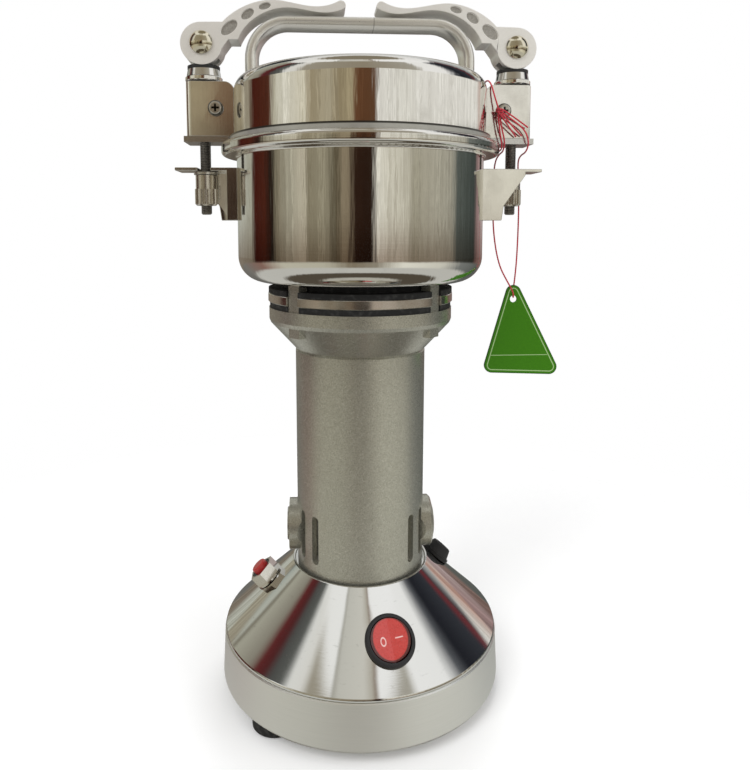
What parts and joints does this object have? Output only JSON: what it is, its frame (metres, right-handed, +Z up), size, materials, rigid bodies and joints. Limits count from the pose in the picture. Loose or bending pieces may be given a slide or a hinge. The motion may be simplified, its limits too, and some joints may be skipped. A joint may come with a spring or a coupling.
{
  "type": "electric grain mill",
  "caption": "Upright electric grain mill: round base with a rocker switch, slim motor column, steel grinding bowl and a lid held down by cam-lever latches, with a hang tag.",
  "frame": {"origin": "on the floor under the feet, on the motor's axis", "axes": "+Z up along the motor's axis, -Y towards the switch side, +X to the right, with the latches along X"},
  "size_m": [0.193, 0.1398, 0.3342],
  "materials": {
    "skirt_steel": "satin",
    "polished_steel": "polished",
    "bright_steel": "bright",
    "bearing_steel": "ground",
    "lamination": "stamped sheets",
    "copper": "enamelled wire",
    "brass": "bright",
    "blade_steel": "ground",
    "black_rubber": "matt",
    "pale_silicone": "matt",
    "black_plastic": "moulded",
    "grey_plastic": "moulded",
    "carbon": "pressed carbon",
    "red_plastic": "moulded",
    "grey_lacquer": "fine metallic lacquer",
    "cast_aluminium": "as cast",
    "cast_silver": "tumbled and lacquered",
    "sheet_steel": "satin",
    "chrome_plate": "bright plated",
    "green_card": "printed card under film",
    "red_thread": "twisted thread"
  },
  "bodies": {
    "base": {"base_skirt": "skirt_steel", "bottom_plate": "skirt_steel", "base_fasteners": "bright_steel", "rubber_feet": "black_rubber", "base_cone": "polished_steel", "switch_bezel": "black_plastic", "terminals": "brass", "breaker_body": "black_plastic", "reset_nut": "chrome_plate", "cord_gland": "black_plastic", "gland_nut": "black_plastic", "motor_housing": "grey_lacquer", "lower_end_frame": "cast_aluminium", "ball_bearings": "bearing_steel", "stator_core": "lamination", "field_coils": "copper", "brush_holders": "black_plastic", "carbon_brushes": "carbon", "brush_springs": "brass", "brush_caps": "grey_plastic", "plate_gaskets": "black_rubber", "end_plate": "polished_steel", "bowl": "polished_steel", "bowl_screws": "bright_steel", "seal_hub": "polished_steel", "shaft_seal": "black_rubber", "seal_nut": "bright_steel", "bowl_brackets": "sheet_steel"},
    "rotor": {"motor_shaft": "bearing_steel", "armature_core": "lamination", "armature_windings": "copper", "commutator": "brass", "cooling_fan": "black_plastic", "lower_blade": "blade_steel", "upper_blade": "blade_steel", "blade_spacers": "bright_steel", "blade_nut": "bright_steel"},
    "rocker": {"switch_rocker": "red_plastic"},
    "button": {"reset_button": "red_plastic"},
    "lid_washers": {"nut_washers": "bright_steel"},
    "left_nut": {"knurled_nut_left": "chrome_plate"},
    "right_nut": {"knurled_nut_right": "chrome_plate"},
    "lid": {"lid": "polished_steel", "locating_ring": "polished_steel", "lid_seal": "pale_silicone", "handle": "cast_silver", "lid_screws": "bright_steel", "latch_boxes": "sheet_steel", "latch_blocks": "cast_aluminium", "cam_saddles": "black_plastic", "latch_collars": "chrome_plate", "hang_tag": "green_card", "tag_string": "red_thread", "string_knot": "red_thread"},
    "left_rod": {"latch_rod_left": "bright_steel", "cam_pin_left": "chrome_plate"},
    "right_rod": {"latch_rod_right": "bright_steel", "cam_pin_right": "chrome_plate"},
    "left_lever": {"cam_lever_left": "cast_silver"},
    "right_lever": {"cam_lever_right": "cast_silver"}
  },
  "joints": [
    {"name": "rotor_spin", "type": "hinge", "parent": "base", "child": "rotor", "pos_m": [0, 0, 0.15], "axis": [0, 0, 1], "continuous": true},
    {"name": "rocker_tilt", "type": "hinge", "parent": "base", "child": "rocker", "pos_m": [0.00999, -0.05138, 0.04483], "axis": [-0.1409, 0.7251, 0.6741], "range_deg": [0, 16]},
    {"name": "reset_press", "type": "slide", "parent": "base", "child": "button", "axis": [0.6741, 0, -0.7386], "range_m": [0, 0.002], "stiffness_N_per_m": 800},
    {"name": "lid_turn", "type": "hinge", "parent": "base", "child": "lid_washers", "pos_m": [0, 0, 0.2541], "axis": [0, 0, -1], "range_deg": [-18, 0]},
    {"name": "left_nut_turn", "type": "hinge", "parent": "lid_washers", "child": "left_nut", "pos_m": [-0.0747, 0, 0.246], "axis": [0, 0, 1], "continuous": true},
    {"name": "right_nut_turn", "type": "hinge", "parent": "lid_washers", "child": "right_nut", "pos_m": [0.0747, 0, 0.246], "axis": [0, 0, 1], "continuous": true},
    {"name": "lid_lift", "type": "slide", "parent": "lid_washers", "child": "lid", "axis": [0, 0, 1], "range_m": [0, 0.06]},
    {"name": "left_rod_drop", "type": "slide", "parent": "lid", "child": "left_rod", "axis": [0, 0, -1], "range_m": [0, 0.000786]},
    {"name": "right_rod_drop", "type": "slide", "parent": "lid", "child": "right_rod", "axis": [0, 0, -1], "range_m": [0, 0.000786]},
    {"name": "left_lever_swing", "type": "hinge", "parent": "left_rod", "child": "left_lever", "pos_m": [-0.0747, 0, 0.3141], "axis": [0, -1, 0], "range_deg": [0, 165]},
    {"name": "right_lever_swing", "type": "hinge", "parent": "right_rod", "child": "right_lever", "pos_m": [0.0747, 0, 0.3141], "axis": [0, 1, 0], "range_deg": [0, 165]}
  ],
  "couplings": [
    {"joint": "left_lever_swing", "follows": "left_rod_drop", "rad_per_m": 3663},
    {"joint": "right_lever_swing", "follows": "right_rod_drop", "rad_per_m": 3663}
  ]
}
